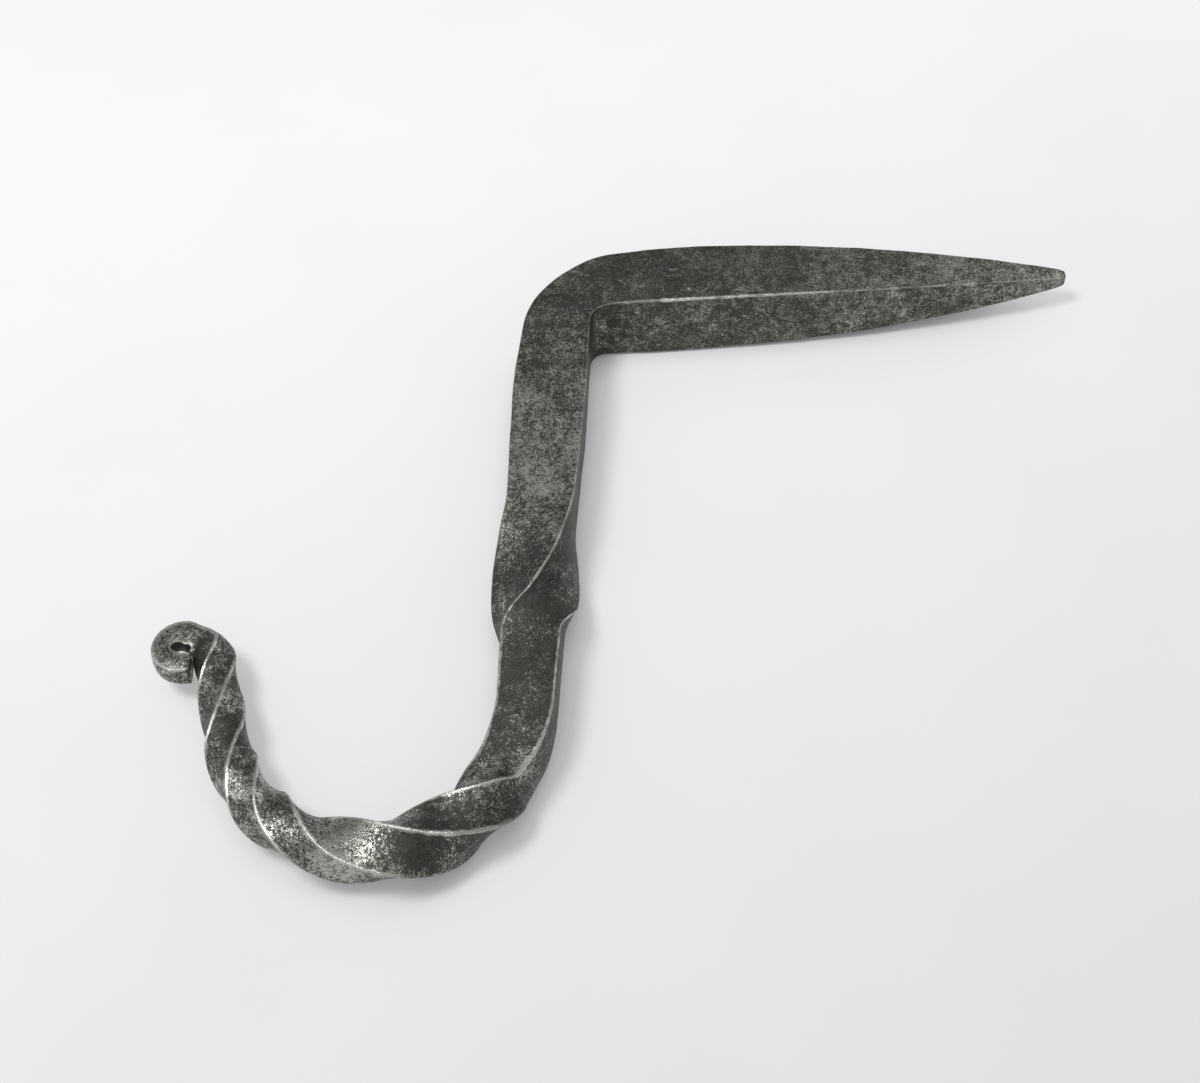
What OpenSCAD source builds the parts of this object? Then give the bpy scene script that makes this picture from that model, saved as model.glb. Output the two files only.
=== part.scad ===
// Spike hook: one square bar, forged in one piece.
// One end is drawn to a spike, the bar turns a corner, and its long leg is twisted
// and bent into a hook that ends in a small rolled scroll.
// Millimetres. The hook lies on its side: +X points the way the spike does, the long
// leg runs along -Y, +Z is up through the thickness of the bar.

/* [Bar] */
// side of the square bar in the plain part of the long leg
bar_w = 10.9; // [8:0.1:13]
// radius worn on the four edges of the bar
edge_r = 0.5; // [0.2:0.05:1]

/* [Spike] */
// length of the spike, from its tip to the corner
spike_len = 70; // [50:1:90]
// full thickness of the spike, just before the corner
spike_w = 12.1; // [8:0.1:14]
// thickness of the blunt tip
tip_w = 2; // [1:0.1:4]
// how full the taper is: 1 is straight, higher is fuller
belly = 2.15; // [1:0.05:3]

/* [Corner] */
// turn of the corner, in degrees
corner_deg = 83; // [75:1:100]
// radius of the middle of the bar round the corner
corner_r = 10.8; // [8:0.1:14]
// how far the outside of the corner is drawn down
corner_draw = 1; // [0:0.1:2.5]

/* [Hook] */
// length of the long leg
leg_len = 63; // [55:1:80]
// radius at the bottom of the hook
hook_r = 17.8; // [14:0.1:24]
// radius of the rising arm
arm_r = 21.2; // [16:0.1:30]
// length of the straight neck below the scroll
neck_len = 15.1; // [12:0.1:20]
// thickness of the twisted bar at the bottom of the hook
bottom_w = 7.3; // [6:0.1:9]
// thickness of the bar at the neck
neck_w = 4.9; // [4:0.1:6]

/* [Scroll] */
// radius of the middle of the bar round the eye of the scroll
scroll_r = 2.85; // [2.6:0.05:3.6]
// degrees the bar rolls round the eye
scroll_deg = 200; // [150:5:215]
// thickness of the bar at the end of the scroll
scroll_w = 2.3; // [1.4:0.1:2.5]
// height of the bar at the end of the scroll
scroll_h = 3.1; // [2:0.1:4]

/* [Hidden] */

// The bar as a row of parts, tip to scroll: [length, curvature in degrees per mm].
// A turn to the left of the way along the bar is positive.
function arc(r, deg) = [abs(r) * deg * PI / 180, 180 / (PI * r)];
PARTS = [
    [spike_len, 0],              // 0 spike
    arc(corner_r, corner_deg),   // 1 corner
    [leg_len, 0],                // 2 long leg
    arc(-1.65 * hook_r, 28),     // 3 into the hook
    arc(-hook_r, 77),            // 4 bottom of the hook
    arc(-arm_r, 58),             // 5 rising arm
    [neck_len, 0],               // 6 neck
    arc(1.26 * scroll_r, 54),    // 7 shoulder of the scroll
    arc(1.7 * scroll_r, 20),     // 8 over the top
    arc(scroll_r, scroll_deg)    // 9 round the eye
];
// number of stations in each part
STEPS = [16, 12, 46, 10, 30, 32, 18, 6, 5, 20];

// Tables along the bar: [part number + share of the part, value].
// Sideways thickness and height of the bar, past the spike.
WIDE = [
    [1, spike_w - 0.5], [1.5, (spike_w + bar_w) / 2 - 0.5], [2, bar_w], [2.17, bar_w],
    [2.33, bar_w * 0.94], [2.55, bar_w * 0.83], [2.75, bottom_w * 1.22],
    [3, bottom_w * 1.15], [3.5, bottom_w * 1.04], [4, bottom_w * 0.92],
    [4.5, bottom_w * 0.96], [5, bottom_w * 0.7], [5.5, neck_w * 1.22], [6, neck_w * 1.05],
    [6.5, neck_w * 0.93], [7, neck_w * 0.94], [8, neck_w * 0.55], [9, scroll_w * 1.5],
    [9.6, scroll_w * 1.25], [10, scroll_w]
];
TALL = [
    [1, spike_w - 0.5], [1.5, (spike_w + bar_w) / 2 - 0.5], [2, bar_w], [2.17, bar_w],
    [2.33, bar_w * 0.94], [2.55, bar_w * 0.86], [2.75, bottom_w * 1.18],
    [3, bottom_w * 1.11], [3.5, bottom_w * 1.09], [4, bottom_w * 0.99],
    [4.5, bottom_w * 0.95], [5, bottom_w * 0.95], [5.5, neck_w * 1.09], [6, neck_w],
    [6.5, neck_w], [7, neck_w * 0.88], [8, scroll_h * 0.88], [9, scroll_h * 0.82],
    [9.6, scroll_h * 0.98], [10, scroll_h]
];
// turn of the section about the bar, in degrees: two full turns in all
TWIST = [
    [2.47, 0], [2.62, 15], [2.76, 48], [2.86, 90], [3.42, 93], [3.9, 102], [4.08, 135],
    [4.31, 180], [4.86, 270], [5.11, 315], [5.33, 360], [5.67, 450], [6.06, 540],
    [6.67, 630], [7.03, 690], [8.8, 720]
];

// Smooth curve through a table that never swings past its values.
function rise(t, i) = (t[i + 1][1] - t[i][1]) / (t[i + 1][0] - t[i][0]);
function lean(t, i) =
    i == 0 || i == len(t) - 1 ? 0
    : rise(t, i - 1) * rise(t, i) <= 0 ? 0
    : let (a = t[i][0] - t[i - 1][0], b = t[i + 1][0] - t[i][0])
      3 * (a + b) / ((2 * b + a) / rise(t, i - 1) + (b + 2 * a) / rise(t, i));
function spot(t, x, i = 0) = i >= len(t) - 2 || x < t[i + 1][0] ? i : spot(t, x, i + 1);
function curve(t, x) =
    x <= t[0][0] ? t[0][1]
    : x >= t[len(t) - 1][0] ? t[len(t) - 1][1]
    : let (i = spot(t, x), g = t[i + 1][0] - t[i][0], u = (x - t[i][0]) / g)
      t[i][1] * (1 + 2 * u) * pow(1 - u, 2) + lean(t, i) * g * u * pow(1 - u, 2)
      + t[i + 1][1] * u * u * (3 - 2 * u) + lean(t, i + 1) * g * u * u * (u - 1);

// Where the middle of the bar is: [x, y, heading] a distance d along a part.
function go(at, part, d) =
    let (h = at[2], k = part[1])
    k == 0 ? [at[0] + d * cos(h), at[1] + d * sin(h), h]
    : let (r = 180 / (PI * k), e = h + k * d)
      [at[0] + r * (sin(e) - sin(h)), at[1] - r * (cos(e) - cos(h)), e];
function starts(i, at) =
    i >= len(PARTS) ? [at] : concat([at], starts(i + 1, go(at, PARTS[i], PARTS[i][0])));
START = starts(0, [0, 0, 270 - corner_deg]);
function pose(q) =
    let (i = max(0, min(len(PARTS) - 1, floor(q)))) go(START[i], PARTS[i], (q - i) * PARTS[i][0]);

function taper(q) = spike_w - (spike_w - tip_w) * pow(1 - q, belly) - 0.5 * pow(q, 4);
function wide(q) = q < 1 ? taper(q) : curve(WIDE, q);
function tall(q) = q < 1 ? taper(q) : curve(TALL, q);
// metal drawn off the outside of the corner, fading out on both sides of it
function drawn(q) =
    let (a = q < 1 ? (1 - q) * spike_len : q > 2 ? (q - 2) * leg_len : 0,
         b = q < 1 || q > 2 ? 1 : abs(2 * q - 3),
         u = min(1, b * 0.45 + a / (2.2 * corner_r)))
    corner_draw * (1 + cos(180 * u)) / 2;

// A rounded square: four corners of four points, and a point in the middle of each side.
function section(w, h, cut) =
    let (r = min(edge_r, w / 4, h / 4))
    [for (c = [0:3]) let (sx = c == 0 || c == 3 ? 1 : -1, sy = c < 2 ? 1 : -1,
                          px = sx * (w / 2 - r) + (sx < 0 ? cut : 0), py = sy * (h / 2 - r))
        each [
            for (k = [0:3]) [px + r * cos(90 * c + 30 * k), py + r * sin(90 * c + 30 * k)],
            c == 0 ? [cut / 2, h / 2] : c == 1 ? [-w / 2 + cut, 0]
            : c == 2 ? [cut / 2, -h / 2] : [w / 2, 0]
        ]];
function ring(q) =
    let (p = pose(q), t = curve(TWIST, q), s = section(wide(q), tall(q), drawn(q)))
    [for (v = s) let (a = v[0] * cos(t) - v[1] * sin(t), b = v[0] * sin(t) + v[1] * cos(t))
        [p[0] - a * sin(p[2]), p[1] + a * cos(p[2]), b]];

// stations along the bar
Q = concat([for (i = [0:len(PARTS) - 1], k = [0:STEPS[i] - 1]) i + k / STEPS[i]],
           [len(PARTS)]);
RINGS = [for (q = Q) ring(q)];
N = len(RINGS[0]);

// the finished hook is centred on its own box and stands on z = 0
BODY = [for (r = RINGS) each r];
MID = [for (k = [0:1]) (min([for (p = BODY) p[k]]) + max([for (p = BODY) p[k]])) / 2];
LOW = min([for (p = BODY) p[2]]);
POINTS = [for (r = RINGS, p = r) p - [MID[0], MID[1], LOW]];
FACES = concat(
    [[for (k = [0:N - 1]) k]],
    [for (i = [0:len(Q) - 2], k = [0:N - 1])
        let (a = i * N + k, b = a + N, d = i * N + (k + 1) % N, c = d + N)
        each [[a, b, d], [b, c, d]]],
    [[for (k = [0:N - 1]) len(Q) * N - 1 - k]]
);

module spike_hook() {
    color([0.24, 0.24, 0.235])
        polyhedron(POINTS, FACES, convexity = 6);
}

spike_hook();
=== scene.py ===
import math
import bpy
import bmesh
from mathutils import Matrix, Vector, noise


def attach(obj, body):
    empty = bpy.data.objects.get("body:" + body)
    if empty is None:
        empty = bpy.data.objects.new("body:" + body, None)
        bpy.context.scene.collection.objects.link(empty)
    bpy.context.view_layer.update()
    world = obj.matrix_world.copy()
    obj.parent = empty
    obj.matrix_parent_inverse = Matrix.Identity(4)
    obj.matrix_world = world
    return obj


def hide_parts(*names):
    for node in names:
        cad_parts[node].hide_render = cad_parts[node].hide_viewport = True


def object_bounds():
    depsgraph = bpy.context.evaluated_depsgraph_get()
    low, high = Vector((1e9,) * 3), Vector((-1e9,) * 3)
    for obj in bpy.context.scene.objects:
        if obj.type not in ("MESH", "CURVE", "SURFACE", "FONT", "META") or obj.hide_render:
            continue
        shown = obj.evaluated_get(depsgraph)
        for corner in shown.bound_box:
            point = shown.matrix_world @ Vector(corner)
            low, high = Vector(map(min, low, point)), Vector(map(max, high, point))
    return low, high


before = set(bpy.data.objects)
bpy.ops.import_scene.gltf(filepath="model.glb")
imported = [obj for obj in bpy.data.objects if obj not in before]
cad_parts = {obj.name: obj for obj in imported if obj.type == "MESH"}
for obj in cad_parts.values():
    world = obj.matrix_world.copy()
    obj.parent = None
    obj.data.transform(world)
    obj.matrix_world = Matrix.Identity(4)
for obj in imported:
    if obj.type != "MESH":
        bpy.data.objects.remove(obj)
SOLID_BOX = [list(c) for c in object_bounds()]

bl_info = {
    "name": "Forged spike hook",
    "version": (1, 0, 0),
    "blender": (4, 5, 0),
    "location": "3D View > Sidebar > Spike hook",
    "description": "A square bar forged to a spike, twisted round a hook and rolled into a scroll",
    "category": "Add Mesh",
}

MM = 0.001


# ---------------------------------------------------------------- tables along the bar
#
# The bar is a row of ten parts: 0 spike, 1 corner, 2 long leg, 3 to 5 hook, 6 neck,
# 7 and 8 shoulder of the scroll, 9 scroll. A place on it is the number of the part plus
# the share of that part, so 2.5 is half way down the leg. Each table is a list of
# (place, value). Lengths are in mm and turns in degrees.

# turn of the section about the bar
TWIST = [
    (2.47, 0), (2.62, 15), (2.76, 48), (2.86, 90), (3.42, 93), (3.9, 102), (4.08, 135),
    (4.31, 180), (4.86, 270), (5.11, 315), (5.33, 360), (5.67, 450), (6.06, 540),
    (6.67, 630), (7.03, 690), (8.8, 720),
]
# how far the section wanders sideways from the drawn line
WANDER = [
    (0, 0.2), (0.15, 0.25), (0.4, 0.2), (0.6, 0.05), (0.85, -0.1), (1.1, -0.15), (1.4, 0.05),
    (1.8, 0), (2, 0.06), (2.6, -0.08), (3.6, 0.05), (4.1, 0.05), (4.5, 0.05), (5.05, 0.3),
    (5.5, 0.42), (5.8, 0.26), (6.3, 0.2), (7, 0.02), (9.4, 0), (9.8, -0.12), (10, -0.15),
]
# how many times as thick as the solid it is: the tip is rounded off, the twist and the
# end of the scroll are fuller
FULLER = [
    (0, 0.70), (0.008, 0.92), (0.016, 1.01), (1, 1), (2, 1), (2.3, 1.02), (2.65, 1.11),
    (2.9, 1.06), (3.2, 1.01), (3.7, 1), (4.1, 1.06), (4.6, 1.07), (5.2, 1.10), (6.8, 1.10),
    (7.3, 1.02), (8, 1), (9.3, 1), (9.7, 1.18), (10, 1.22),
]
# metal put on the inner side, or taken off it below 0: a tight corner, a small eye, a
# thick end
INWARD = [
    (1.05, 0), (1.5, -0.75), (1.95, 0), (6.75, 0), (6.9, 0.12), (7, 0.25), (7.25, 0.85),
    (7.55, 1.2), (8, 1.1), (8.5, 0.92), (9, 0.82), (9.43, -0.25), (9.85, 0.55), (10, 0.2),
]
# share by which the corners of the square are hammered back
ROUNDED = [
    (0, 0.3), (0.05, 0.1), (0.7, 0.05), (2.4, 0.05), (2.75, 0.28), (2.95, 0.3), (3.2, 0.15),
    (4, 0.2), (4.8, 0.3), (5.4, 0.45), (6.9, 0.5), (7.6, 0.3), (10, 0.25),
]
# radius worn on the edges, as a share of the unit section's own
CRISP = [(0, 0.5), (0.4, 0.5), (0.8, 0.65), (1.1, 0.5), (2.2, 0.4), (2.9, 1), (9, 1), (10, 0.7)]
# width of the band along the edges that is rubbed bright and carries a painted highlight
BAND = [
    (0, 0.35), (0.35, 0.38), (0.9, 0.6), (1.4, 0.3), (2.2, 0.3), (2.7, 0.5), (3.3, 0.5),
    (3.9, 0.85), (5, 0.8), (10, 0.6),
]
# how brightly the edges are rubbed and painted with highlight, on the inner and the outer
# side of the bends
RUBBED_AND_SHEEN_IN = [
    (0, 0.7), (0.3, 0.6), (0.6, 0.9), (0.9, 1), (1.1, 0.7), (1.5, 0.35), (2.2, 0.4),
    (2.5, 0.6), (2.8, 1),
]
RUBBED_AND_SHEEN_OUT = [(0, 0.25), (0.9, 0.1), (2.4, 0.1), (2.7, 0.3), (3, 0.7), (3.5, 1)]
# how far the brush has bared the steel, 0.3 all scale, 0.6 nearly all steel, with painted
# highlight and painted shade set in: more steel where the lamp glints, less on shaded sides
# and where the steel mirrors the dark. The inner side from the neck into the eye of the
# scroll is darkened as painted shade.
BARED_AND_LIT_UPPER = [
    (0, 0.48), (0.25, 0.47), (0.5, 0.46), (0.75, 0.45), (1.0, 0.43), (1.3, 0.42), (1.8, 0.42),
    (2.2, 0.48), (2.45, 0.53), (2.6, 0.45), (3, 0.36),
]
BARED_AND_SHADED_INNER = [
    (0, 0.475), (0.5, 0.445), (1, 0.425), (1.6, 0.34), (2, 0.28), (2.5, 0.30), (3, 0.36),
]
BARED_AND_SHADED_EYE = [(6.8, 0.41), (7.5, 0.22)]
BARED_LIT_AND_SHADED_ELSEWHERE = [
    (0, 0.42), (2.4, 0.40), (3, 0.34), (3.5, 0.37), (3.8, 0.43), (4.3, 0.40), (4.6, 0.42),
    (4.9, 0.56), (5.2, 0.44), (5.5, 0.49), (5.85, 0.44), (6.1, 0.33), (6.35, 0.44),
    (6.7, 0.39), (8, 0.42), (9, 0.47), (10, 0.51),
]
# how evenly the scale lies on the upper side
CALM = [(0, 0.7), (0.6, 0.8), (1.1, 0.8), (1.5, 0.4), (2, 0)]

# up to the twist the upper and the inner side have a finish of their own, the lit upper side
# painted lighter and the shaded inner side of the leg painted darker, and from the eye on the
# inner side has one again, darkened as painted shade
TWIST_FROM, EYE_FROM = 2.9, 6.8
# the front of the spike is its inner side, up to here, and this even is its scale
FRONT_TO, FRONT_CALM = 1.3, 0.6
# how brown the scale is: on that front, along the outer edge of the upper side, elsewhere
BROWN_FRONT, BROWN_UPPER, BROWN = 0.9, 0.8, 0.35
# where the end of the scroll starts to lean to its slanted cut
SLANT_FROM = 9.55
# how far the drawn line is moved to centre the hook on the frame, in mm
CENTRED = (65.028, 54.239)
# depth and size of the hammer marks and of the ripple between them, in mm
MARK, RIPPLE = (0.14, 5.0), (0.05, 1.6)
# gap between the rings of the mesh, in mm
RING_GAP = 0.45

# The unit section is a square of side 1: share of it bevelled at the corners, cuts along
# a side, the outermost of these cuts, where it goes to keep the flat flat, and where the
# corner begins
BEVEL, CUTS = 0.045, 11
OUTER_CUT, FLAT_END, CORNER_FROM = (0.37, 0.4), 0.44, 0.45


class SPIKEHOOK_PG_bar(bpy.types.PropertyGroup):
    """Sizes of the forged bar, in millimetres, and its colours."""
    bar_w: bpy.props.FloatProperty(
        name="Bar", description="Side of the square bar, in mm", default=10.9)
    spike_len: bpy.props.FloatProperty(
        name="Spike length", description="Length of the spike, in mm", default=70)
    spike_w: bpy.props.FloatProperty(
        name="Spike root", description="Thickness of the spike at the corner, in mm", default=12.1)
    tip_w: bpy.props.FloatProperty(
        name="Spike tip", description="Thickness of the blunt tip, in mm", default=2)
    belly: bpy.props.FloatProperty(
        name="Taper fullness", description="How full the spike's taper is", default=2.15)
    corner_deg: bpy.props.FloatProperty(
        name="Corner", description="Turn of the corner, in degrees", default=83)
    corner_r: bpy.props.FloatProperty(
        name="Corner radius", description="Radius round the corner, in mm", default=10.8)
    corner_draw: bpy.props.FloatProperty(
        name="Corner draw", description="Metal drawn off outside the corner, in mm", default=1)
    leg_len: bpy.props.FloatProperty(
        name="Leg", description="Length of the long leg, in mm", default=63)
    hook_r: bpy.props.FloatProperty(
        name="Hook radius", description="Radius at the bottom of the hook, in mm", default=17.8)
    arm_r: bpy.props.FloatProperty(
        name="Arm radius", description="Radius of the rising arm, in mm", default=21.2)
    neck_len: bpy.props.FloatProperty(
        name="Neck", description="Length of the neck, in mm", default=15.1)
    bottom_w: bpy.props.FloatProperty(
        name="Hook bar", description="Thickness of the bar in the hook, in mm", default=7.3)
    neck_w: bpy.props.FloatProperty(
        name="Neck bar", description="Thickness of the bar at the neck, in mm", default=4.9)
    scroll_r: bpy.props.FloatProperty(
        name="Scroll radius", description="Radius round the eye of the scroll, in mm",
        default=2.85)
    scroll_deg: bpy.props.FloatProperty(
        name="Scroll roll", description="Roll of the scroll, in degrees", default=207)
    scroll_w: bpy.props.FloatProperty(
        name="Scroll end", description="Thickness at the end of the scroll, in mm", default=2.3)
    scroll_h: bpy.props.FloatProperty(
        name="Scroll height", description="Height at the end of the scroll, in mm", default=3.1)
    end_slant: bpy.props.FloatProperty(
        name="End slant", description="Slant of the cut end of the scroll, in degrees", default=24)
    steel: bpy.props.FloatVectorProperty(
        name="Brushed steel", description="Steel bared by the wire brush", subtype="COLOR", size=4,
        default=(0.49, 0.49, 0.445, 1))
    scale: bpy.props.FloatVectorProperty(
        name="Fire scale", description="Dark skin left by the fire", subtype="COLOR", size=4,
        default=(0.064, 0.065, 0.063, 1))
    rust: bpy.props.FloatVectorProperty(
        name="Brown scale", description="Scale that has started to brown", subtype="COLOR", size=4,
        default=(0.078, 0.070, 0.055, 1))
    # the rubbed edge colour is rubbed steel and also a painted highlight along the ridges
    bright: bpy.props.FloatVectorProperty(
        name="Rubbed edge", description="Steel rubbed bright along the edges", subtype="COLOR",
        size=4, default=(0.56, 0.56, 0.525, 1))


class SPIKEHOOK_PG_stage(bpy.types.PropertyGroup):
    """The pale floor and the lamps."""
    floor: bpy.props.FloatVectorProperty(
        name="Floor", description="Colour of the pale floor", subtype="COLOR", size=4,
        default=(0.47, 0.468, 0.47, 1))
    # the floor's darker side is a painted fall-off of light
    far_side: bpy.props.FloatProperty(
        name="Floor, dark side", description="Tone of the floor on its darker side", default=0.76)
    glow: bpy.props.FloatProperty(
        name="Paper glow", description="Light the paper lets through where it is seen",
        default=0.94)
    sky_low: bpy.props.FloatProperty(
        name="Room, dark side", description="Strength of the room's light on its dark side",
        default=0.08)
    sky_high: bpy.props.FloatProperty(
        name="Room, light side", description="Strength of the room's light on its light side",
        default=0.72)
    window: bpy.props.FloatProperty(
        name="Window", description="Power of the soft window light", default=0.45, unit="POWER")
    lamp: bpy.props.FloatProperty(
        name="Lamp", description="Power of the small lamp overhead", default=2.15, unit="POWER")


# ---------------------------------------------------------------- the bar's way

def ease(table, x):
    """Smooth value from a table that never swings past its values."""
    if x <= table[0][0]:
        return table[0][1]
    if x >= table[-1][0]:
        return table[-1][1]
    i = max(k for k in range(len(table) - 1) if table[k][0] <= x)

    def rise(k):
        return (table[k + 1][1] - table[k][1]) / (table[k + 1][0] - table[k][0])

    def lean(k):
        if k in (0, len(table) - 1) or rise(k - 1) * rise(k) <= 0:
            return 0
        a, b = table[k][0] - table[k - 1][0], table[k + 1][0] - table[k][0]
        return 3 * (a + b) / ((2 * b + a) / rise(k - 1) + (b + 2 * a) / rise(k))

    g = table[i + 1][0] - table[i][0]
    u = (x - table[i][0]) / g
    return (table[i][1] * (1 + 2 * u) * (1 - u) ** 2 + lean(i) * g * u * (1 - u) ** 2
            + table[i + 1][1] * u * u * (3 - 2 * u) + lean(i + 1) * g * u * u * (u - 1))


def arc(radius, degrees):
    """Length of a bend and its turn in degrees per mm."""
    return abs(radius) * math.radians(degrees), 180 / (math.pi * radius)


def bar_parts(p):
    """The ten parts of the bar, tip to scroll: length and turn per mm."""
    return [
        (p.spike_len, 0), arc(p.corner_r, p.corner_deg), (p.leg_len, 0),
        arc(-1.65 * p.hook_r, 28), arc(-p.hook_r, 77), arc(-p.arm_r, 58), (p.neck_len, 0),
        arc(1.26 * p.scroll_r, 54), arc(1.7 * p.scroll_r, 20), arc(p.scroll_r, p.scroll_deg),
    ]


def walk(at, part, d):
    """Where the middle of the bar gets to, and its heading, a distance d along a part."""
    x, y, h = at
    k = part[1]
    if k == 0:
        return x + d * math.cos(h), y + d * math.sin(h), h
    r = 180 / (math.pi * k)
    e = h + math.radians(k * d)
    return x + r * (math.sin(e) - math.sin(h)), y - r * (math.cos(e) - math.cos(h)), e


def side_tables(p):
    """Sideways thickness and height of the bar, past the spike."""
    s, w, b, n, e, h = p.spike_w, p.bar_w, p.bottom_w, p.neck_w, p.scroll_w, p.scroll_h
    wide = [
        (1, s - 0.5), (1.5, (s + w) / 2 - 0.5), (2, w), (2.17, w), (2.33, w * 0.94),
        (2.55, w * 0.83), (2.75, b * 1.22), (3, b * 1.15), (3.5, b * 1.04), (4, b * 0.92),
        (4.5, b * 0.96), (5, b * 0.7), (5.5, n * 1.22), (6, n * 1.05), (6.5, n * 0.93),
        (7, n * 0.94), (8, n * 0.55), (9, e * 1.5), (9.6, e * 1.25), (10, e),
    ]
    tall = [
        (1, s - 0.5), (1.5, (s + w) / 2 - 0.5), (2, w), (2.17, w), (2.33, w * 0.94),
        (2.55, w * 0.86), (2.75, b * 1.18), (3, b * 1.11), (3.5, b * 1.09), (4, b * 0.99),
        (4.5, b * 0.95), (5, b * 0.95), (5.5, n * 1.09), (6, n), (6.5, n), (7, n * 0.88),
        (8, h * 0.88), (9, h * 0.82), (9.6, h * 0.98), (10, h),
    ]
    return wide, tall


class Way:
    """The drawn line of the bar and the size of its section at each place."""

    def __init__(self, p):
        self.p = p
        self.parts = bar_parts(p)
        self.wide, self.tall = side_tables(p)
        self.starts = [(0.0, 0.0, math.radians(270 - p.corner_deg))]
        for part in self.parts:
            self.starts.append(walk(self.starts[-1], part, part[0]))

    def stations(self):
        """Places of the rings, from the tip to the end of the scroll."""
        for i, part in enumerate(self.parts):
            n = max(4, round(part[0] / RING_GAP))
            for k in range(n):
                yield i + k / n
        yield len(self.parts)

    def taper(self, q):
        p = self.p
        return p.spike_w - (p.spike_w - p.tip_w) * max(0, 1 - q) ** p.belly - 0.5 * max(q, 0) ** 4

    def drawn_off(self, q):
        """Metal drawn off the outside of the corner, fading out on both sides of it."""
        p = self.p
        a = (1 - q) * p.spike_len if q < 1 else (q - 2) * p.leg_len if q > 2 else 0
        b = 1 if q < 1 or q > 2 else abs(2 * q - 3)
        u = min(1, b * 0.45 + a / (2.2 * p.corner_r))
        return p.corner_draw * (1 + math.cos(math.pi * u)) / 2

    def section(self, q):
        """Placing of the unit section, and the width and height of the bar."""
        i = max(0, min(len(self.parts) - 1, math.floor(q)))
        x, y, h = walk(self.starts[i], self.parts[i], (q - i) * self.parts[i][0])
        w = self.taper(q) if q < 1 else ease(self.wide, q)
        t = self.taper(q) if q < 1 else ease(self.tall, q)
        w *= ease(FULLER, q)
        if q > 2:
            t *= ease(FULLER, q)
        cut, grown = self.drawn_off(q), ease(INWARD, q)
        # the end of the scroll is cut on the slant, its inner corner nearest the neck
        h -= math.radians(ease([(SLANT_FROM, 0), (10, self.p.end_slant)], q))
        placed = Matrix(((-math.sin(h), 0, math.cos(h), x), (math.cos(h), 0, math.sin(h), y),
                         (0, 1, 0, 0), (0, 0, 0, 1)))
        placed = placed @ Matrix.Translation((ease(WANDER, q), 0, 0))
        turn = Matrix.Rotation(math.radians(ease(TWIST, q)), 4, "Z")
        size = Matrix.Translation(((cut + grown) / 2, 0, 0))
        size = size @ Matrix.Diagonal((w - cut + grown, t, 1, 1))
        return placed @ turn @ size, w, t


# ---------------------------------------------------------------- the bar

def crisped(u, crisp):
    """A point of the unit section, its worn corner drawn tighter."""
    return Vector([math.copysign(0.5 - (0.5 - abs(k)) * crisp, k) if abs(k) > CORNER_FROM else k
                   for k in u])


def rounded(u, much):
    """A point of the unit section, hammered back where it stands past the round."""
    return u * (1 - much * max(0, u.length - 0.5) / u.length)


def unit_section(bm, around):
    """A square of side 1 with worn corners, each point keeping its place in it."""
    made = bmesh.ops.create_circle(bm, cap_ends=True, segments=4, radius=math.sqrt(0.5),
                                   matrix=Matrix.Rotation(math.pi / 4, 4, "Z"))
    bmesh.ops.bevel(bm, geom=made["verts"], offset=BEVEL, offset_type="OFFSET", segments=4,
                    profile=0.5, affect="VERTICES", material=-1)
    sides = [e for e in bm.edges if e.calc_length() > 0.3]
    bmesh.ops.subdivide_edges(bm, edges=sides, cuts=CUTS)
    for v in bm.verts:
        for k in (0, 1):
            if OUTER_CUT[0] < abs(v.co[k]) < OUTER_CUT[1]:
                v.co[k] = math.copysign(FLAT_END, v.co[k])
        v[around] = v.co.copy()
    return list(bm.verts), list(bm.edges)


def finish_of(u, q, w, t):
    """What the finish needs to know of a point: (bared, edge, rubbed), (brown, smooth, 0)."""
    upper = q < TWIST_FROM and u.y > abs(u.x)
    inner = q < TWIST_FROM and u.x > abs(u.y)
    eye = q > EYE_FROM and u.x > abs(u.y)
    spike_front = inner and q < FRONT_TO
    # the share of bared steel also carries painted highlight and painted shade: more where the
    # lamp glints, less on shaded sides and in the eye
    bared = (BARED_AND_LIT_UPPER if upper else BARED_AND_SHADED_INNER if inner
             else BARED_AND_SHADED_EYE if eye else BARED_LIT_AND_SHADED_ELSEWHERE)
    c = crisped(u, ease(CRISP, q))
    edge = (0.5 - abs(c.x)) * w + (0.5 - abs(c.y)) * t
    rubbed = ease(RUBBED_AND_SHEEN_IN if u.x > 0 else RUBBED_AND_SHEEN_OUT, q)
    brown = BROWN_FRONT if spike_front else BROWN_UPPER if upper and u.x < -0.3 else BROWN
    smooth = ease(CALM, q) if upper else FRONT_CALM if spike_front else 0
    return (ease(bared, q), edge / ease(BAND, q), rubbed), (brown, smooth, 0)


def hammer(bm):
    """Shallow hammer marks and wavy edges, always into the metal."""
    bm.normal_update()
    moves = []
    for v in bm.verts:
        dent = MARK[0] * (0.5 + 0.5 * noise.noise(v.co / MARK[1]))
        dent += RIPPLE[0] * (0.5 + 0.5 * noise.noise(v.co / RIPPLE[1] + Vector((9, 4, 2))))
        moves.append(-v.normal * dent)
    for v, m in zip(bm.verts, moves):
        v.co += m


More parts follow.
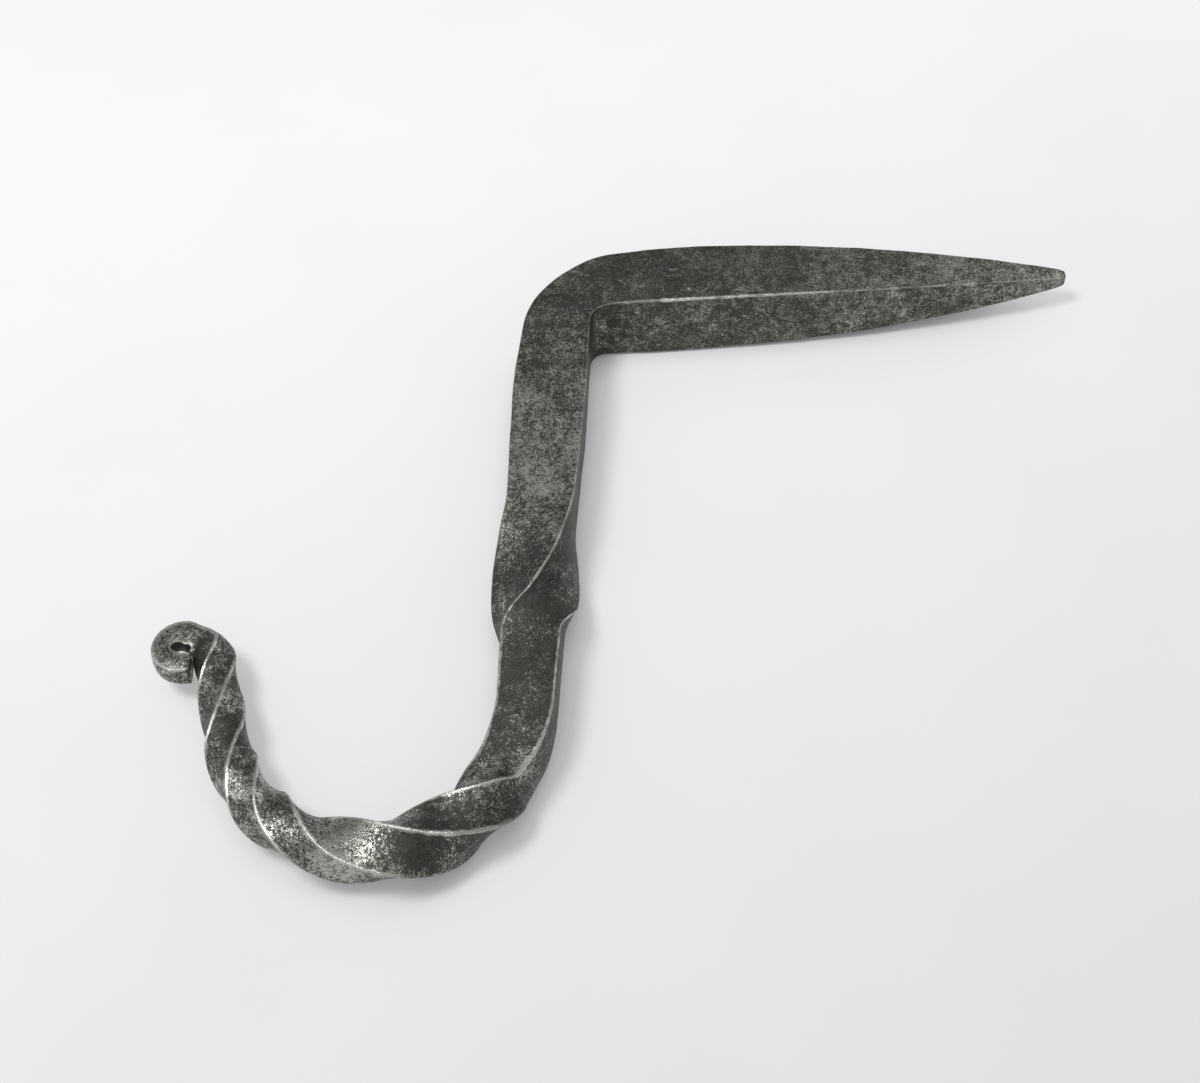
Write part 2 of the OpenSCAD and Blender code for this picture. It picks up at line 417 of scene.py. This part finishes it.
def forged_bar(p):
    """The whole bar: a square section drawn along its way and turned about it."""
    way = Way(p)
    bm = bmesh.new()
    for name in ("place", "bar", "skin"):
        bm.verts.layers.float_vector.new(name)
    around, bar, skin = (bm.verts.layers.float_vector[name] for name in ("place", "bar", "skin"))
    ring, ring_edges = unit_section(bm, around)
    last = Matrix.Identity(4)
    rings = []
    for q in way.stations():
        if rings:
            got = bmesh.ops.extrude_edge_only(bm, edges=ring_edges)["geom"]
            ring = [g for g in got if isinstance(g, bmesh.types.BMVert)]
            there = set(ring)
            ring_edges = [g for g in got if isinstance(g, bmesh.types.BMEdge)
                          and all(v in there for v in g.verts)]
        now, w, t = way.section(q)
        bmesh.ops.transform(bm, matrix=now @ last.inverted(), verts=ring)
        last = now
        rings.append((ring, now.to_3x3(), ease(ROUNDED, q), ease(CRISP, q)))
        for v in ring:
            v[bar], v[skin] = finish_of(v[around], q, w, t)
    bmesh.ops.contextual_create(bm, geom=ring_edges)
    for ring, turned, much, crisp in rings:
        for v in ring:
            u = v[around]
            v.co += turned @ (rounded(crisped(u, crisp), much) - u)
    bmesh.ops.recalc_face_normals(bm, faces=bm.faces)
    middle = SOLID_BOX[1][2] / 2 / MM
    bmesh.ops.translate(bm, vec=Vector((*CENTRED, middle)), verts=bm.verts)
    hammer(bm)
    bmesh.ops.scale(bm, vec=(MM, MM, MM), verts=bm.verts)
    for v in bm.verts:
        for k in range(3):
            v.co[k] = min(max(v.co[k], SOLID_BOX[0][k]), SOLID_BOX[1][k])
    return bm


# ---------------------------------------------------------------- finishes

# sizes of the patterns in the skin of the steel, in metres
GRAIN, PIT, CLUMP, CLOUD = 0.29 * MM, 0.16 * MM, 1.4 * MM, 6 * MM
# middle of a round patch of painted shade in the bottom bend of the hook, where the steel
# mirrors a dark part of the room, in metres
SHADE_PATCH_AT = (-0.0255, -0.0523, 0.0088)


class Nodes:
    """Short way to lay out a finish's nodes."""

    def __init__(self, name):
        self.mat = bpy.data.materials.new(name)
        self.mat.use_nodes = True
        self.tree = self.mat.node_tree
        self.tree.nodes.clear()

    def add(self, kind, inputs=None, **settings):
        node = self.tree.nodes.new(kind)
        for key, value in settings.items():
            setattr(node, key, value)
        for key, value in (inputs or {}).items():
            socket = node.inputs[key]
            if isinstance(value, bpy.types.NodeSocket):
                self.tree.links.new(value, socket)
            else:
                socket.default_value = value
        return node

    def math(self, op, a, b, clamp=False):
        return self.add("ShaderNodeMath", {0: a, 1: b}, operation=op, use_clamp=clamp).outputs[0]

    def plus(self, a, b):
        return self.math("ADD", a, b)

    def minus(self, a, b):
        return self.math("SUBTRACT", a, b)

    def times(self, a, b, clamp=False):
        return self.math("MULTIPLY", a, b, clamp)

    def swing(self, value, much):
        """How far a pattern is from its middle, times much."""
        return self.times(self.minus(value, 0.5), much)

    def span(self, value, a, b, c=0.0, d=1.0):
        """Smooth change from c to d while value goes from a to b."""
        return self.add("ShaderNodeMapRange", {0: value, 1: a, 2: b, 3: c, 4: d},
                        interpolation_type="SMOOTHSTEP").outputs[0]

    def noise(self, vector, size, detail=2.0, rough=0.5, swirl=0.0):
        inputs = {"Vector": vector, "Scale": 1 / size, "Detail": detail,
                  "Roughness": rough, "Distortion": swirl}
        return self.add("ShaderNodeTexNoise", inputs).outputs["Fac"]

    def vector(self, op, a, b):
        return self.add("ShaderNodeVectorMath", {0: a, 1: b}, operation=op)

    def grey(self, value):
        return self.add("ShaderNodeCombineColor", {0: value, 1: value, 2: value}).outputs[0]

    def mix(self, fac, a, b, blend="MIX"):
        return self.add("ShaderNodeMix", {0: fac, 6: a, 7: b}, data_type="RGBA",
                        blend_type=blend).outputs[2]

    def place(self):
        return self.add("ShaderNodeTexCoord").outputs["Object"]

    def carried(self, name):
        """The three values that the mesh carries under a name."""
        kept = self.add("ShaderNodeAttribute", attribute_name=name, attribute_type="GEOMETRY")
        return self.add("ShaderNodeSeparateXYZ", {0: kept.outputs["Vector"]}).outputs


def forged_steel(p):
    """Fire scale over wire-brushed steel, rubbed bright along the edges, with painted highlight
    and painted shade set into where the steel shows and into the bright edges.
    """
    n = Nodes("forged steel")
    place = n.place()
    bared, edge, rubbed = n.carried("bar")
    brown, smooth, _ = n.carried("skin")

    # painted shade: within a ragged round about the bottom bend of the hook, less of the steel
    # colour shows
    away = n.vector("DISTANCE", place, SHADE_PATCH_AT).outputs["Value"]
    ragged = n.plus(away, n.times(n.noise(place, 3 * MM), 3 * MM))
    shade_patch = n.span(ragged, 2.5 * MM, 6 * MM, 1.0, 0.0)
    bared = n.minus(n.minus(bared, 0.5), n.times(shade_patch, 0.16))

    # where the steel shows through the scale, raised by painted highlight and lowered by
    # painted shade: grains in clumps, in clouds, and calmer on the smooth sides
    grain = n.noise(place, GRAIN, 3.0, 0.6, 1.1)
    clump = n.noise(place, CLUMP, 2.5, 0.55, 0.6)
    cloud = n.noise(place, CLOUD)
    calm = n.minus(1.0, n.times(smooth, 0.66))
    speck = n.plus(n.minus(grain, 0.5), n.swing(clump, 0.38))
    drift = n.times(n.times(n.minus(cloud, 0.5), calm), 0.28)
    level = n.plus(n.plus(0.5, n.times(speck, calm)), n.plus(drift, n.times(bared, 0.9)))
    # a few scratches, drawn out along the spike
    drawn = n.vector("MULTIPLY", place, (0.4, 1, 1)).outputs[0]
    scratch = n.span(n.noise(drawn, 1.1 * MM, 3.5, 0.65, 1.2), 0.64, 0.72, 0.0, 0.28)
    level = n.plus(level, n.times(scratch, smooth))
    bare_and_lit = n.span(level, 0.415, 0.63)

    # the edges, rubbed bright and painted with highlight in a ragged band that breaks off here
    # and there
    wobble = n.swing(n.noise(place, 1.1 * MM), 1.0)
    worn = n.minus(1.0, n.span(n.plus(edge, wobble), 0.4, 1.0))
    broken = n.span(n.noise(place, 3 * MM, 3.0), 0.40, 0.56)
    worn = n.times(worn, n.math("MAXIMUM", n.span(broken, 0, 1, 0.35, 1.0), n.minus(0.65, smooth)))
    # painted highlight and shade: the bright band is kept to the upper side, where the light
    # falls, and mostly fades out lower down towards the floor
    height = n.add("ShaderNodeSeparateXYZ", {0: place}).outputs[2]
    worn = n.times(worn, n.span(height, 5.8 * MM, 8.2 * MM, 0.12, 1.0))
    worn = n.times(worn, rubbed, clamp=True)

    tint = n.times(n.span(n.noise(place, 4 * MM), 0.3, 0.6, 0.4, 1.0), brown)
    colour = n.mix(bare_and_lit, n.mix(tint, tuple(p.scale), tuple(p.rust)), tuple(p.steel))
    pits = n.plus(n.noise(place, PIT, 1.5), n.swing(clump, 0.25))
    colour = n.mix(1.0, colour, n.grey(n.span(pits, 0.35, 0.49, 0.42, 1.0)), "MULTIPLY")
    colour = n.mix(worn, colour, tuple(p.bright))
    bump = n.add("ShaderNodeBump", {"Height": n.plus(grain, n.times(clump, 0.6)),
                                    "Strength": 1.0, "Distance": 0.06 * MM})
    rough = n.minus(0.54, n.times(n.math("MAXIMUM", bare_and_lit, worn), 0.30))
    skin = n.add("ShaderNodeBsdfPrincipled", {"Base Color": colour, "Roughness": rough,
                                              "Metallic": 0.9, "Normal": bump.outputs[0]})
    n.add("ShaderNodeOutputMaterial", {0: skin.outputs[0]})
    return n.mat


def pale_floor(s):
    """White paper, its tone painted with a gentle fall-off of light, that keeps a soft shadow."""
    n = Nodes("pale floor")
    place = n.place()
    # painted light: the paper is toned darker towards one side, as the light falls off across it
    slope = n.vector("DOT_PRODUCT", place, FLOOR_WAY).outputs["Value"]
    level = n.add("ShaderNodeMapRange", {0: slope, 1: FLOOR_SPAN[0], 2: FLOOR_SPAN[1],
                                         3: s.far_side, 4: 1.0})
    mottle = n.span(n.noise(place, 30 * MM, 3.0), 0.3, 0.7, 0.99, 1.005)
    tone = n.grey(n.times(level.outputs[0], mottle))
    paper = n.mix(1.0, tone, tuple(s.floor), "MULTIPLY")
    skin = n.add("ShaderNodeBsdfDiffuse", {"Color": paper})
    seen = n.add("ShaderNodeLightPath").outputs
    direct = n.math("MAXIMUM", seen["Is Camera Ray"], seen["Is Glossy Ray"])
    # painted contact shadow: the glow fades where the hook lies close to the paper
    close = n.add("ShaderNodeAmbientOcclusion", {"Distance": 6 * MM}, samples=8)
    near = n.span(close.outputs["AO"], 0.15, 0.85, 0.25, 1.0)
    strength = n.times(n.times(direct, near), s.glow)
    glow = n.add("ShaderNodeEmission", {"Color": paper, "Strength": strength})
    both = n.add("ShaderNodeAddShader", {0: skin.outputs[0], 1: glow.outputs[0]})
    n.add("ShaderNodeOutputMaterial", {0: both.outputs[0]})
    return n.mat


# ---------------------------------------------------------------- the stage

# the lamps: which way they hang, how far off and how wide, in metres
WINDOW = {"way": (0.6, 0.7, 0.42), "far": 0.62, "size": 0.3}
LAMP = {"way": (-0.36, -0.2, 0.91), "far": 0.6, "size": 0.17}
# the camera: where it stands, which way it looks, its lens and the width of its film, in mm
CAMERA_AT = (1.6, -172.69, 229.12)
CAMERA_WAY = (-0.02525, 0.60943, -0.79244)
LENS, SENSOR = 60, 36
# half the side of the floor, in metres
FLOOR_HALF = 6
# the way in which the room's light and the floor's painted fall-off of light rise, and from
# where to where
ROOM_WAY, ROOM_SPAN = (-0.22, -0.38, 0.9), (-0.25, 1)
FLOOR_WAY, FLOOR_SPAN = (-0.28, 0.96, 0), (-0.13, 0.10)


def room_light(s):
    """Even light all round, fuller from above and from the lamp's side."""
    world = bpy.data.worlds.new("room light")
    world.use_nodes = True
    tree = world.node_tree
    back = tree.nodes["Background"]
    way = tree.nodes.new("ShaderNodeTexCoord")
    dot = tree.nodes.new("ShaderNodeVectorMath")
    dot.operation = "DOT_PRODUCT"
    dot.inputs[1].default_value = ROOM_WAY
    lift = tree.nodes.new("ShaderNodeMapRange")
    for k, v in enumerate((*ROOM_SPAN, s.sky_low, s.sky_high), 1):
        lift.inputs[k].default_value = v
    tree.links.new(way.outputs["Generated"], dot.inputs[0])
    tree.links.new(dot.outputs["Value"], lift.inputs[0])
    tree.links.new(lift.outputs[0], back.inputs[1])
    back.inputs[0].default_value = (1, 1, 1, 1)
    return world


def hang(context, name, power, way, far, size):
    """A round soft lamp, a distance far off along way, that faces the hook."""
    lamp = bpy.data.lights.new(name, "AREA")
    lamp.shape = "DISK"
    lamp.size = size
    lamp.energy = power
    hung = bpy.data.objects.new(name, lamp)
    hung.location = Vector(way).normalized() * far
    hung.rotation_euler = (-hung.location).to_track_quat("-Z", "Y").to_euler()
    context.scene.collection.objects.link(hung)


def set_camera(context):
    """The camera, looking down on the hook from in front of it."""
    cam = bpy.data.cameras.new("camera")
    cam.lens = LENS
    cam.sensor_width = SENSOR
    cam.sensor_fit = "HORIZONTAL"
    cam.clip_start = 0.01
    eye = bpy.data.objects.new("camera", cam)
    eye.location = Vector(CAMERA_AT) * MM
    eye.rotation_euler = Vector(CAMERA_WAY).to_track_quat("-Z", "Y").to_euler()
    context.scene.collection.objects.link(eye)
    context.scene.camera = eye


def keep(bm, name, material, smooth=True):
    """Turn a finished bmesh into an object at the origin, in its material."""
    mesh = bpy.data.meshes.new(name)
    bm.to_mesh(mesh)
    bm.free()
    mesh.materials.append(material)
    for f in mesh.polygons:
        f.use_smooth = smooth
    obj = bpy.data.objects.new(name, mesh)
    bpy.context.scene.collection.objects.link(obj)
    return obj


# ---------------------------------------------------------------- operators

class SPIKEHOOK_OT_bar(bpy.types.Operator):
    """Forge the bar: spike, corner, long leg, twisted hook and scroll"""
    bl_idname = "spikehook.bar"
    bl_label = "Forge the bar"

    def execute(self, context):
        p = context.scene.spikehook_bar
        piece = keep(forged_bar(p), "forged_bar", forged_steel(p))
        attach(piece, "root")
        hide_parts("spike_hook")
        return {"FINISHED"}


class SPIKEHOOK_OT_stage(bpy.types.Operator):
    """Lay the pale floor, hang the lamps and set the camera"""
    bl_idname = "spikehook.stage"
    bl_label = "Set the stage"

    def execute(self, context):
        s = context.scene.spikehook_stage
        bm = bmesh.new()
        bmesh.ops.create_grid(bm, x_segments=1, y_segments=1, size=FLOOR_HALF)
        floor = keep(bm, "floor", pale_floor(s), False)
        context.scene.world = room_light(s)
        hang(context, "window", s.window, **WINDOW)
        hang(context, "lamp", s.lamp, **LAMP)
        set_camera(context)
        context.scene.view_settings.view_transform = "Standard"
        return {"FINISHED"}


class SPIKEHOOK_PT_panel(bpy.types.Panel):
    """Lists the sizes, the colours and the pieces"""
    bl_idname = "SPIKEHOOK_PT_panel"
    bl_label = "Spike hook"
    bl_space_type = "VIEW_3D"
    bl_region_type = "UI"
    bl_category = "Spike hook"

    def draw(self, context):
        for group in (context.scene.spikehook_bar, context.scene.spikehook_stage):
            box = self.layout.box()
            for name in group.__annotations__:
                box.prop(group, name)
        self.layout.operator("spikehook.bar")
        self.layout.operator("spikehook.stage")


CLASSES = [SPIKEHOOK_PG_bar, SPIKEHOOK_PG_stage, SPIKEHOOK_OT_bar, SPIKEHOOK_OT_stage,
           SPIKEHOOK_PT_panel]


def register():
    for c in CLASSES:
        bpy.utils.register_class(c)
    bpy.types.Scene.spikehook_bar = bpy.props.PointerProperty(type=SPIKEHOOK_PG_bar)
    bpy.types.Scene.spikehook_stage = bpy.props.PointerProperty(type=SPIKEHOOK_PG_stage)


def unregister():
    del bpy.types.Scene.spikehook_bar
    del bpy.types.Scene.spikehook_stage
    for c in reversed(CLASSES):
        bpy.utils.unregister_class(c)


def main():
    register()
    bpy.ops.spikehook.bar()
    bpy.ops.spikehook.stage()


if __name__ == "__main__":
    main()
